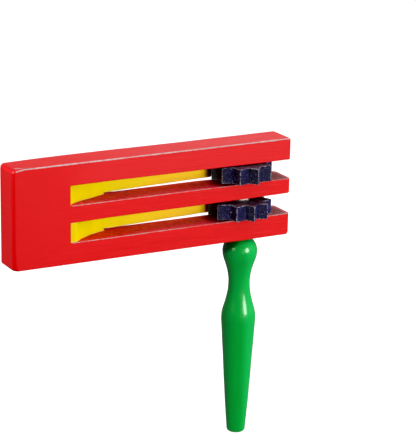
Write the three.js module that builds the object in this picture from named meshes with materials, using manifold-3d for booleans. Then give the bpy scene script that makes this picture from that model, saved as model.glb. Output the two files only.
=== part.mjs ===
// Wooden ratchet noisemaker: a turned handle carries an axle dowel with two toothed
// cogs, and a slotted frame with two springy wooden tongues whirls round the dowel.
// Units are millimetres, +Z up. The origin is on the spin axis at the middle of the grip.
import * as THREE from 'three';
import { mergeVertices } from 'three/addons/utils/BufferGeometryUtils.js';
import Module from 'manifold-3d';

// ---------------------------------------------------------------- driving dimensions
const GRIP_TO_FRAME = 60;        // origin (middle of the grip) up to the frame's underside

const FRAME_X0 = -143.8;         // closed end of the frame
const FRAME_X1 = 27.2;           // open end of the frame
const FRAME_T = 18.16;           // thickness of the board, front to back
const FRAME_H = 56;              // height of the board
const SLOT_X0 = -110.3;          // blind end of both slots
const LOWER_SLOT = [11.92, 23.81];   // floor and ceiling above the frame's underside
const UPPER_SLOT = [32.65, 44.04];
const FRAME_CORNER_R = 2.2;      // rounded outer corners and end edges
const BAR_CORNER_R = 0.5;        // slot-side corners of the three bar ends

const DOWEL_R = 5.0;
const DOWEL_Z0 = -16.7;          // bottom of the dowel inside the handle's socket
const DOWEL_Z1 = 51.6;           // top of the dowel inside the frame's top bar
const FRAME_BORE_R = 5.36;       // running bore in the frame
const FRAME_BORE_TOP = 52.0;     // blind in the top bar
const COG_BORE_R = 5.34;
const SOCKET_R = 5.34;           // socket turned in the handle's ball
const SOCKET_Z = -17.05;

const COG_TIP_R = 17.65;
const COG_VALLEY_R = 13.6;
const UPPER_COG_Z = [33.75, 42.9];
const LOWER_COG_Z = [12.2, 21.05];
const TIP_FLAT = 0.45;           // width of the worn flat on each tooth tip

const BLADE_T = 1.8;             // thickness of the springy part of each tongue, past its taper
const FLEX_X = -83.35;           // line about which each blade bends
const BLADE_X0 = -83.2;
const BLADE_Y0 = 7.0;            // front surface of the blade where it leaves the root
const UPPER_LEAN_DEG = 4.1;      // the blades lie on the tooth tips, lifted out of the valleys
const LOWER_LEAN_DEG = 3.95;
const UPPER_BLADE_X1 = -11.9;    // free ends
const LOWER_BLADE_X1 = -13.65;
// Each free end is bevelled on its front, just outside the circle of the tooth tips: [x, y] in plan.
const UPPER_BEVEL = [[-13.6, 11.99], [-11.5, 14.0]];
const LOWER_BEVEL = [[-15.15, 11.70], [-13.2, 13.83]];

const GAP = 0.3;                 // clearance between pieces that touch

const PIN_R = 0.4;
const PIN_HOLE_R = 0.7;
const PIN_HEAD_R = 0.65;
const PIN_HEAD_T = 0.45;
const UPPER_PIN_SEAT_R = 14.3;   // radius from the axle at which the heads sit
const LOWER_PIN_SEAT_R = 14.12;
const PIN_TIP_R = 3.4;
const UPPER_PIN_DEG = 40;
const LOWER_PIN_DEG = 218;
const LOWER_PIN_RISE = 0.3;       // above the middle of the lower cog

// Each cog is a hand-cut star: [direction in degrees, radius] of tips and valleys in turn.
const UPPER_STAR = [
  [202.4, 17.7], [220.3, 13.6], [238.3, 17.7], [257.6, 13.5], [273.0, 17.75], [291.2, 13.6],
  [309.5, 17.7], [327.5, 13.6], [345.5, 17.6], [363.5, 13.6], [381.5, 17.6], [400.0, 13.6],
  [417.5, 17.6], [435.7, 13.6], [454.0, 17.6], [472.0, 13.6], [490.0, 17.6], [508.0, 13.6],
  [526.0, 17.65], [544.2, 13.6],
];
const LOWER_STAR = [
  [195.2, 18.5], [216.5, 13.2], [233.2, 17.0], [254.0, 12.7], [268.0, 16.8], [284.6, 13.2],
  [300.5, 17.35], [319.0, 13.3], [337.0, 17.3], [354.5, 13.5], [372.0, 17.4], [390.0, 13.6],
  [408.0, 17.6], [426.0, 13.7], [444.0, 17.8], [462.5, 13.9], [481.0, 18.1], [499.5, 14.0],
  [518.0, 18.75], [536.6, 14.0],
];

// Turned profile of the handle: [radius, height above the frame's underside], from the tip up.
const HANDLE_PROFILE = [
  [0, -120.1], [3.9, -120.1], [4.5, -119.95], [5.0, -119.6], [5.3, -119.05], [5.42, -118.2],
  [5.58, -116.0], [5.92, -112.2], [6.35, -106.5], [6.72, -102.0], [7.05, -97.0], [7.35, -92.0],
  [7.7, -87.0], [8.0, -82.0], [8.27, -77.0], [8.55, -72.0], [8.92, -67.0], [9.22, -62.0],
  [9.5, -57.0], [9.75, -53.3], [9.9, -50.8], [9.92, -49.6], [9.78, -47.2], [9.45, -45.3],
  [8.95, -43.4], [8.25, -41.0], [7.58, -38.5], [7.02, -36.0], [6.58, -33.6], [6.32, -31.2],
  [6.21, -28.6], [6.25, -26.2], [6.5, -23.9], [6.93, -21.5], [7.56, -19.0], [8.3, -16.6],
  [9.14, -14.2], [9.76, -11.9], [10.0, -9.4], [9.93, -8.0], [9.55, -6.4], [9.05, -5.1],
  [8.4, -4.0], [7.6, -3.0], [6.7, -2.0], [6.0, -1.3], [5.75, -1.05], [SOCKET_R, -0.95],
  [SOCKET_R, SOCKET_Z], [0, SOCKET_Z],
];

// Plan view of the tongue roots' front surface, [x, y], from the slot's blind end outwards.
const UPPER_ROOT_FRONT = [
  [-110.0, -8.1], [-107.6, -5.9], [-105.1, -4.1], [-101.6, -2.3], [-98.2, -0.9], [-94.2, 0.4],
  [-89.5, 2.45], [-86.8, 3.6], [-83.5, 5.25],
];
const LOWER_ROOT_FRONT = [
  [-110.0, -8.9], [-107.2, -8.85], [-104.7, -7.1], [-101.7, -4.45], [-99.0, -2.5], [-96.5, -1.0],
  [-94.0, 0.5], [-91.7, 1.6], [-89.5, 2.4], [-87.3, 3.2], [-83.5, 4.9],
];
// Each blade is thicker where it leaves the root, and thins over the first part of its length.
const UPPER_BLADE_FRONT_Y = 5.35;
const LOWER_BLADE_FRONT_Y = 5.0;
const BLADE_TAPER = 50;
const ROOT_BACK_Y = 8.95;

const CIRCLE_SEG = 36;
const HANDLE_SEG = 40;

// ---------------------------------------------------------------- helpers
const wasm = await Module();
wasm.setup();

function solid(geometry) {
  const g = geometry.clone();
  g.deleteAttribute('normal');
  g.deleteAttribute('uv');
  const m = mergeVertices(g, 1e-4);
  return new wasm.Manifold(new wasm.Mesh({
    numProp: 3,
    vertProperties: new Float32Array(m.attributes.position.array),
    triVerts: new Uint32Array(m.index.array),
  }));
}

function geometryOf(manifold) {
  const mesh = manifold.getMesh();
  const g = new THREE.BufferGeometry();
  g.setAttribute('position', new THREE.BufferAttribute(new Float32Array(mesh.vertProperties), 3));
  g.setIndex(new THREE.BufferAttribute(new Uint32Array(mesh.triVerts), 1));
  g.computeVertexNormals();
  return g;
}

// A flat outline extruded up +Z from z0 to z1.
function prism(shape, z0, z1) {
  const g = new THREE.ExtrudeGeometry(shape, { depth: z1 - z0, bevelEnabled: false, curveSegments: 6 });
  g.translate(0, 0, z0);
  return g;
}

function polygon(points) {
  const s = new THREE.Shape();
  points.forEach(([x, y], i) => (i ? s.lineTo(x, y) : s.moveTo(x, y)));
  s.closePath();
  return s;
}

function cylinder(r, z0, z1, segments = CIRCLE_SEG) {
  const g = new THREE.CylinderGeometry(r, r, z1 - z0, segments);
  g.rotateX(Math.PI / 2);
  g.translate(0, 0, (z0 + z1) / 2);
  return g;
}

// A rod that points away from the axle in direction deg, from radius r0 to r1, at height z.
function radialRod(r, r0, r1, deg, z, segments = 14) {
  const g = new THREE.CylinderGeometry(r, r, r1 - r0, segments);
  g.rotateZ(-Math.PI / 2);
  g.translate((r0 + r1) / 2, 0, 0);
  g.rotateZ(THREE.MathUtils.degToRad(deg));
  g.translate(0, 0, z);
  return g;
}

// Rounded corners on a closed outline: each point is [x, y, radius].
function roundedOutline(points) {
  const s = new THREE.Shape();
  const n = points.length;
  points.forEach(([x, y, r], i) => {
    const [px, py] = points[(i + n - 1) % n];
    const [nx, ny] = points[(i + 1) % n];
    const a = Math.hypot(px - x, py - y);
    const b = Math.hypot(nx - x, ny - y);
    const ax = x + ((px - x) / a) * r;
    const ay = y + ((py - y) / a) * r;
    const bx = x + ((nx - x) / b) * r;
    const by = y + ((ny - y) / b) * r;
    if (i) s.lineTo(ax, ay); else s.moveTo(ax, ay);
    if (r > 0) s.quadraticCurveTo(x, y, bx, by);
  });
  s.closePath();
  return s;
}

const material = (color, roughness, metalness = 0) =>
  new THREE.MeshStandardMaterial({ color, roughness, metalness });

const ratchet = new THREE.Group();
function piece(name, geometry, mat) {
  const mesh = new THREE.Mesh(geometry, mat);
  mesh.name = name;
  mesh.position.z = GRIP_TO_FRAME;
  ratchet.add(mesh);
  return mesh;
}

// ---------------------------------------------------------------- frame block
// One board with a comb-shaped side view: three bars that join in a solid end.
const R = FRAME_CORNER_R;
const B = BAR_CORNER_R;
const comb = roundedOutline([
  [FRAME_X0, 0, R], [FRAME_X1, 0, R],
  [FRAME_X1, LOWER_SLOT[0], B], [SLOT_X0, LOWER_SLOT[0], 0],
  [SLOT_X0, LOWER_SLOT[1], 0], [FRAME_X1, LOWER_SLOT[1], B],
  [FRAME_X1, UPPER_SLOT[0], B], [SLOT_X0, UPPER_SLOT[0], 0],
  [SLOT_X0, UPPER_SLOT[1], 0], [FRAME_X1, UPPER_SLOT[1], B],
  [FRAME_X1, FRAME_H, R], [FRAME_X0, FRAME_H, R],
]);
const combBlock = prism(comb, 0, FRAME_T);
combBlock.rotateX(Math.PI / 2);            // the outline's y becomes z, its depth runs to -Y
combBlock.translate(0, FRAME_T / 2, 0);
const plan = roundedOutline([
  [FRAME_X0, -FRAME_T / 2, R], [FRAME_X1, -FRAME_T / 2, R],
  [FRAME_X1, FRAME_T / 2, R], [FRAME_X0, FRAME_T / 2, R],
]);
let frame = solid(combBlock).intersect(solid(prism(plan, -1, FRAME_H + 1)));
frame = frame.subtract(solid(cylinder(FRAME_BORE_R, -2, FRAME_BORE_TOP)));
piece('frame_block', geometryOf(frame), material(0xd21e22, 0.42));

// ---------------------------------------------------------------- tongues
function tongueRoot(name, front, slot) {
  const outline = [...front, [-83.5, ROOT_BACK_Y], [-110.0, ROOT_BACK_Y]];
  piece(name, prism(polygon(outline), slot[0] + GAP, slot[1] - GAP), material(0xf0d400, 0.4));
}
tongueRoot('upper_tongue_root', UPPER_ROOT_FRONT, UPPER_SLOT);
tongueRoot('lower_tongue_root', LOWER_ROOT_FRONT, LOWER_SLOT);

// The blade is a thin strip on edge. Its lower edge is relieved above the slot floor.
function tongueBlade(name, slot, leanDeg, x1, frontY, relief0, relief1, bevel) {
  const lean = THREE.MathUtils.degToRad(leanDeg);
  const length = (x1 - BLADE_X0) / Math.cos(lean);
  const zb0 = slot[0] + relief0;
  const zb1 = slot[0] + relief1;
  const zt = slot[1] - 0.7;
  const side = roundedOutline([[0, zb0, 0], [length, zb1, 0.8], [length, zt, 0.8], [0, zt, 0]]);
  const g = prism(side, 0, BLADE_T);
  g.rotateX(Math.PI / 2);                  // the strip's thickness now runs to -Y
  g.translate(0, BLADE_T, 0);
  g.rotateZ(lean);
  g.translate(BLADE_X0, BLADE_Y0, 0);
  // the extra thickness in front of the strip, seen in plan
  const taper = [];
  for (let i = 0; i <= 10; i += 1) {
    const t = i / 10;
    const x = BLADE_X0 + t * BLADE_TAPER;
    const y = BLADE_Y0 + (x - BLADE_X0) * Math.tan(lean);
    taper.push([x, y + (frontY - BLADE_Y0) * (1 - t * t * (3 - 2 * t))]);
  }
  const inside = [BLADE_X0 + BLADE_TAPER, BLADE_Y0 + BLADE_TAPER * Math.tan(lean) + 0.6];
  const wedgePlan = polygon([...taper, inside, [BLADE_X0, BLADE_Y0 + 0.6]]);
  const wedge = solid(prism(wedgePlan, zb0 + 0.01, zt));
  const [[ax, ay], [bx, by]] = bevel;
  const ex = bx + (bx - ax) * 2;
  const ey = by + (by - ay) * 2;
  const waste = polygon([[ax, ay], [ax, ay - 6], [ex, ay - 6], [ex, ey]]);
  const blade = solid(g).add(wedge).subtract(solid(prism(waste, slot[0] - 2, slot[1] + 2)));
  piece(name, geometryOf(blade), material(0xf0d400, 0.4));
}
tongueBlade('upper_tongue_blade', UPPER_SLOT, UPPER_LEAN_DEG, UPPER_BLADE_X1, UPPER_BLADE_FRONT_Y, 0.85, 0.3, UPPER_BEVEL);
tongueBlade('lower_tongue_blade', LOWER_SLOT, LOWER_LEAN_DEG, LOWER_BLADE_X1, LOWER_BLADE_FRONT_Y, 0.85, 0.35, LOWER_BEVEL);

// ---------------------------------------------------------------- cogs and their brads
function starOutline(star) {
  const pts = [];
  for (let i = 0; i < star.length; i += 1) {
    const [deg, r] = star[i];
    const a = THREE.MathUtils.degToRad(deg);
    if (i % 2 === 0) {
      const h = TIP_FLAT / 2;              // the tip is a short flat across the radius
      pts.push([r * Math.cos(a) + h * Math.sin(a), r * Math.sin(a) - h * Math.cos(a)]);
      pts.push([r * Math.cos(a) - h * Math.sin(a), r * Math.sin(a) + h * Math.cos(a)]);
    } else {
      pts.push([r * Math.cos(a), r * Math.sin(a)]);
    }
  }
  return polygon(pts);
}

function cog(name, star, z, pinDeg, mid) {
  let body = solid(prism(starOutline(star), z[0], z[1]));
  body = body.subtract(solid(cylinder(COG_BORE_R, z[0] - 1, z[1] + 1)));
  body = body.subtract(solid(radialRod(PIN_HOLE_R, 2, 20, pinDeg, mid)));
  piece(name, geometryOf(body), material(0x1c1a44, 0.6));
}
const upperMid = (UPPER_COG_Z[0] + UPPER_COG_Z[1]) / 2;
const lowerMid = (LOWER_COG_Z[0] + LOWER_COG_Z[1]) / 2 + LOWER_PIN_RISE;
cog('upper_cog', UPPER_STAR, UPPER_COG_Z, UPPER_PIN_DEG, upperMid);
cog('lower_cog', LOWER_STAR, LOWER_COG_Z, LOWER_PIN_DEG, lowerMid);

function brad(name, deg, z, seat) {
  const shank = solid(radialRod(PIN_R, PIN_TIP_R, seat + 0.2, deg, z));
  const head = solid(radialRod(PIN_HEAD_R, seat, seat + PIN_HEAD_T, deg, z));
  piece(name, geometryOf(shank.add(head)), material(0xb9bcc2, 0.3, 1));
}
brad('upper_cog_pin', UPPER_PIN_DEG, upperMid, UPPER_PIN_SEAT_R);
brad('lower_cog_pin', LOWER_PIN_DEG, lowerMid, LOWER_PIN_SEAT_R);

// ---------------------------------------------------------------- axle dowel
let dowel = solid(cylinder(DOWEL_R, DOWEL_Z0, DOWEL_Z1));
dowel = dowel.subtract(solid(radialRod(PIN_HOLE_R, 2.6, 8, UPPER_PIN_DEG, upperMid)));
dowel = dowel.subtract(solid(radialRod(PIN_HOLE_R, 2.6, 8, LOWER_PIN_DEG, lowerMid)));
piece('axle_dowel', geometryOf(dowel), material(0xe6d6a8, 0.7));

// ---------------------------------------------------------------- handle
const profile = HANDLE_PROFILE.map(([r, z]) => new THREE.Vector2(r, z));
const turned = new THREE.LatheGeometry(profile, HANDLE_SEG);
turned.rotateX(Math.PI / 2);               // the lathe axis becomes +Z
piece('handle', turned, material(0x129b42, 0.22));

export default ratchet;
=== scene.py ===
"""Looks for a wooden ratchet noisemaker: a red slotted board with two yellow springy
tongues, two navy toothed cogs on a bare dowel, steel brads and a turned green handle."""
import math

import bmesh
import bpy
import numpy as np
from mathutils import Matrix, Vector
from mathutils import noise as mnoise


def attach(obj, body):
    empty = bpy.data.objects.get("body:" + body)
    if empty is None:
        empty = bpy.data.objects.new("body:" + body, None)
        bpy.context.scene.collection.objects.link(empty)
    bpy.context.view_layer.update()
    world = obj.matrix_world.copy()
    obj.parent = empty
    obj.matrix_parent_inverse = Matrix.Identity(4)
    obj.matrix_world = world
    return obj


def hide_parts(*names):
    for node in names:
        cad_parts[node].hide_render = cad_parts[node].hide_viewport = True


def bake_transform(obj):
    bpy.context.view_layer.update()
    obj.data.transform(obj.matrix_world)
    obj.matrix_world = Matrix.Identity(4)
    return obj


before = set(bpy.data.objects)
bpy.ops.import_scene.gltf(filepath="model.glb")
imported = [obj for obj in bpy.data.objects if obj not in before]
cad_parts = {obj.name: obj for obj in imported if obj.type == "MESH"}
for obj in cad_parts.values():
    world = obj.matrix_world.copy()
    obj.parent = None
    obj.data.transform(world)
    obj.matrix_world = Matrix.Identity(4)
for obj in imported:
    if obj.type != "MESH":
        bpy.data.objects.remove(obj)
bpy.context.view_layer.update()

MM = 0.001
LIFT = 60.0                    # the origin is at the middle of the grip, 60 mm below the board

# ------------------------------------------------------------------ dimensions, mm
X0, X1 = -143.8, 27.2          # closed and open end of the board
T2 = 9.08                      # half its thickness
H = 56.0
SLOT_X = -110.05
LOW = (11.92, 23.81)           # lower slot, floor and ceiling above the board's underside
UPP = (32.65, 44.04)
PLAN_R = 2.2                   # rounding of the upright end edges
BAR_BACK_R = {0.0: 1.5, LOW[0]: 1.6, LOW[1]: 1.6, UPP[0]: 2.2, UPP[1]: 2.0, H: 1.7}   # at the back of the open end
BORE_R, BORE_TOP = 5.36, 52.0
DOWEL_R, DOWEL_Z = 5.0, (-16.7, 51.6)
COG_BORE = 5.34
UPPER_COG_Z = (33.75, 42.9)
LOWER_COG_Z = (12.2, 21.05)
TIP_FLAT = 0.45
FLEX_X = -83.35

UPPER_STAR = [
    (202.4, 17.7), (220.3, 13.6), (238.3, 17.7), (257.6, 13.5), (273.0, 17.75), (291.2, 13.6),
    (309.5, 17.7), (327.5, 13.6), (345.5, 17.6), (363.5, 13.6), (381.5, 17.6), (400.0, 13.6),
    (417.5, 17.6), (435.7, 13.6), (454.0, 17.6), (472.0, 13.6), (490.0, 17.6), (508.0, 13.6),
    (526.0, 17.65), (544.2, 13.6),
]
LOWER_STAR = [
    (195.2, 18.5), (216.5, 13.2), (233.2, 17.0), (254.0, 12.7), (268.0, 16.8), (284.6, 13.2),
    (300.5, 17.35), (319.0, 13.3), (337.0, 17.3), (354.5, 13.5), (372.0, 17.4), (390.0, 13.6),
    (408.0, 17.6), (426.0, 13.7), (444.0, 17.8), (462.5, 13.9), (481.0, 18.1), (499.5, 14.0),
    (518.0, 18.75), (536.6, 14.0),
]
UPPER_PIN_DEG, LOWER_PIN_DEG = 40.0, 218.0

HANDLE = [
    (0, -120.1), (3.9, -120.1), (4.5, -119.95), (5.0, -119.6), (5.3, -119.05), (5.42, -118.2),
    (5.58, -116.0), (5.92, -112.2), (6.35, -106.5), (6.72, -102.0), (7.05, -97.0), (7.35, -92.0),
    (7.7, -87.0), (8.0, -82.0), (8.27, -77.0), (8.55, -72.0), (8.92, -67.0), (9.22, -62.0),
    (9.5, -57.0), (9.75, -53.3), (9.9, -50.8), (9.92, -49.6), (9.78, -47.2), (9.45, -45.3),
    (8.95, -43.4), (8.25, -41.0), (7.58, -38.5), (7.02, -36.0), (6.58, -33.6), (6.32, -31.2),
    (6.21, -28.6), (6.25, -26.2), (6.5, -23.9), (6.93, -21.5), (7.56, -19.0), (8.3, -16.6),
    (9.14, -14.2), (9.76, -11.9), (10.0, -9.4), (9.93, -8.0), (9.55, -6.4), (9.05, -5.1),
    (8.4, -4.0), (7.6, -3.0), (6.7, -2.0), (6.0, -1.3), (5.75, -1.05), (5.34, -0.95),
]
SOCKET_R, SOCKET_Z = 5.34, -17.05

UPPER_ROOT = [(-110.25, -8.3), (-107.6, -5.9), (-105.1, -4.1), (-101.6, -2.3), (-98.2, -0.9),
              (-94.2, 0.4), (-89.5, 2.45), (-86.8, 3.6), (-84.9, 4.45), (-83.3, 5.35)]
LOWER_ROOT = [(-110.25, -8.95), (-107.2, -8.85), (-104.7, -7.1), (-101.7, -4.45), (-99.0, -2.5), (-96.5, -1.0),
              (-94.0, 0.5), (-91.7, 1.6), (-89.5, 2.4), (-87.3, 3.2), (-85.0, 4.1), (-83.3, 5.0)]
# clearance under each blade, and rounding of each slot floor's back edge, along x
UPPER_RELIEF = [(-83.9, 0.9), (-80, 0.85), (-75, 0.8), (-66, 0.68), (-58, 0.58), (-50, 0.42), (-45, 0.27),
                (-37, 0.2), (-28, 0.22), (-22, 0.2), (-16, 0.12), (-12, 0.1)]
LOWER_RELIEF = [(-83.9, 1.3), (-80.5, 0.85), (-76, 0.83), (-70, 0.78), (-64, 0.6), (-58, 0.46), (-50, 0.38),
                (-43, 0.4), (-36, 0.4), (-33, 0.32), (-28, 0.29), (-24, 0.3), (-20, 0.38), (-16, 0.18), (-13.6, 0.12)]
UPPER_FLOOR_BACK = [(-84, 0.2), (-79.6, 0.2), (-77.5, 1.1), (-70, 1.3), (-64, 1.1), (-55, 1.2), (-45, 1.3),
                    (-35, 1.05), (-25, 0.75), (-18, 1.1), (-12, 1.8), (0, 1.2), (12, 0.7), (27, 0.5)]
LOWER_FLOOR_BACK = [(-84, 0.2), (-72, 0.3), (-66, 1.2), (-60, 1.2), (-50, 1.0), (0, 1.0), (12, 0.7), (27, 0.5)]

# the saw wandered: how far each level of the board stands above its nominal height, along x
WANDER = [
    (0.0, [(-142.8, -0.02), (-134, -0.04), (-116.6, -0.16), (-92.8, -0.19), (-74.6, -0.26), (-56, -0.35), (-31, -0.43), (-18, -0.51), (24, -0.55)]),
    (LOW[0], [(-101, 0.045), (-89, -0.02), (-77, 0.0), (-62, 0.07), (-51, 0.02), (-40, -0.12), (-31, -0.16), (-21, -0.14), (-5.5, -0.06), (24, 0.06)]),
    (LOW[1], [(-109.4, -0.70), (-102, -0.63), (-93, -0.54), (-87, -0.42), (-81, -0.35), (-62, -0.31), (-34, -0.27), (-22, -0.15), (-6, -0.05), (11, 0.03), (24, 0.14)]),
    (UPP[0], [(-107, 0.16), (-99, 0.10), (-89, 0.03), (-77, -0.02), (-62, -0.03), (-49, -0.02), (-38, -0.03), (-28, -0.09), (-19, -0.14), (-6, -0.16), (24, -0.10)]),
    (UPP[1], [(-109.4, -0.18), (-99, -0.13), (-81, -0.05), (-69, -0.13), (-57, -0.17), (-38, -0.24), (-22, -0.25), (-6.4, -0.29), (16, -0.41), (25, -0.37)]),
    (H, [(-141.6, -0.06), (-133.6, 0.0), (-123, 0.13), (-104.7, 0.28), (-86, 0.26), (-69, 0.21), (-50.6, 0.17), (-38, 0.11), (-24.5, 0.12), (-6.7, 0.14), (17, 0.19), (26, 0.20)]),
]


# ------------------------------------------------------------------ mesh helpers
def wander(x, z):
    """How far the saw took the board's point at x and z off its nominal height."""
    at = [float(np.interp(x, *zip(*table))) for level, table in WANDER]
    return float(np.interp(z, [level for level, table in WANDER], at))


def wob(t, seed, freq=0.06):
    """A smooth wander between about -1 and 1 along t, in millimetres."""
    return 1.7 * mnoise.noise(Vector((t * freq, seed * 7.31, seed * 1.7)))


def mesh_object(name, verts, faces, material, sharp=38.0, attrs=None, lift=LIFT):
    """An object from points in millimetres, with z above the board's underside."""
    v = np.asarray(verts, float).copy()
    v[:, 2] += lift
    me = bpy.data.meshes.new(name)
    me.from_pydata([tuple(p) for p in v * MM], [], [tuple(int(i) for i in f) for f in faces])
    for key, values in (attrs or {}).items():
        a = me.attributes.new(key, "FLOAT", "POINT")
        a.data.foreach_set("value", np.asarray(values, np.float32))
    kept = me.attributes.new("rest", "FLOAT_VECTOR", "POINT")
    kept.data.foreach_set("vector", v.astype(np.float32).ravel())
    tidy(me, sharp)
    me.materials.append(material)
    ob = bpy.data.objects.new(name, me)
    bpy.context.scene.collection.objects.link(ob)
    return ob


def tidy(me, sharp):
    """Outward normals, and smooth shading that stops at edges sharper than the limit."""
    bm = bmesh.new()
    bm.from_mesh(me)
    bmesh.ops.recalc_face_normals(bm, faces=bm.faces)
    limit = math.radians(sharp)
    for f in bm.faces:
        f.smooth = True
    for e in bm.edges:
        e.smooth = not (len(e.link_faces) == 2 and e.calc_face_angle(0.0) > limit)
    bm.to_mesh(me)
    bm.free()


def weighted(ob):
    m = ob.modifiers.new("weighted", "WEIGHTED_NORMAL")
    m.keep_sharp = True
    m.weight = 80
    return ob


def loft(rings, close_u=True, cap=True):
    """Quads between rings of equal length, with the first and last ring closed by a face."""
    n = len(rings[0])
    verts = [p for r in rings for p in r]
    faces = []
    for k in range(len(rings) - 1):
        a, b = k * n, (k + 1) * n
        for i in range(n if close_u else n - 1):
            j = (i + 1) % n
            faces.append((a + i, a + j, b + j, b + i))
    if cap:
        faces.append(tuple(range(n - 1, -1, -1)))
        faces.append(tuple((len(rings) - 1) * n + i for i in range(n)))
    return verts, faces


def lathe(profile, segments, centre=(0.0, 0.0)):
    """Turned solid about Z. Points of the profile on the axis become single points."""
    verts, rows = [], []
    for r, z in profile:
        if r <= 1e-9:
            rows.append([len(verts)])
            verts.append((centre[0], centre[1], z))
        else:
            row = []
            for i in range(segments):
                a = 2 * math.pi * i / segments
                row.append(len(verts))
                verts.append((centre[0] + r * math.cos(a), centre[1] + r * math.sin(a), z))
            rows.append(row)
    faces = []
    for a, b in zip(rows, rows[1:]):
        if len(a) == 1 and len(b) == 1:
            continue
        for i in range(segments):
            j = (i + 1) % segments
            if len(a) == 1:
                faces.append((a[0], b[i], b[j]))
            elif len(b) == 1:
                faces.append((a[i], b[0], a[j]))
            else:
                faces.append((a[i], b[i], b[j], a[j]))
    return verts, faces


def smooth_curve(points, steps):
    """Catmull-Rom through the points, centripetal, so it doesn't overshoot."""
    p = np.array(points, float)
    p = np.vstack([2 * p[0] - p[1], p, 2 * p[-1] - p[-2]])
    out = []
    for i in range(1, len(p) - 2):
        a, b, c, d = p[i - 1], p[i], p[i + 1], p[i + 2]
        t0 = 0.0
        t1 = t0 + max(np.linalg.norm(b - a), 1e-6) ** 0.5
        t2 = t1 + max(np.linalg.norm(c - b), 1e-6) ** 0.5
        t3 = t2 + max(np.linalg.norm(d - c), 1e-6) ** 0.5
        for k in range(steps):
            t = t1 + (t2 - t1) * k / steps
            a1 = (t1 - t) / (t1 - t0) * a + (t - t0) / (t1 - t0) * b
            a2 = (t2 - t) / (t2 - t1) * b + (t - t1) / (t2 - t1) * c
            a3 = (t3 - t) / (t3 - t2) * c + (t - t2) / (t3 - t2) * d
            b1 = (t2 - t) / (t2 - t0) * a1 + (t - t0) / (t2 - t0) * a2
            b2 = (t3 - t) / (t3 - t1) * a2 + (t - t1) / (t3 - t1) * a3
            out.append((t2 - t) / (t2 - t1) * b1 + (t - t1) / (t2 - t1) * b2)
    out.append(p[-2])
    return [tuple(float(x) for x in q) for q in out]


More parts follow.
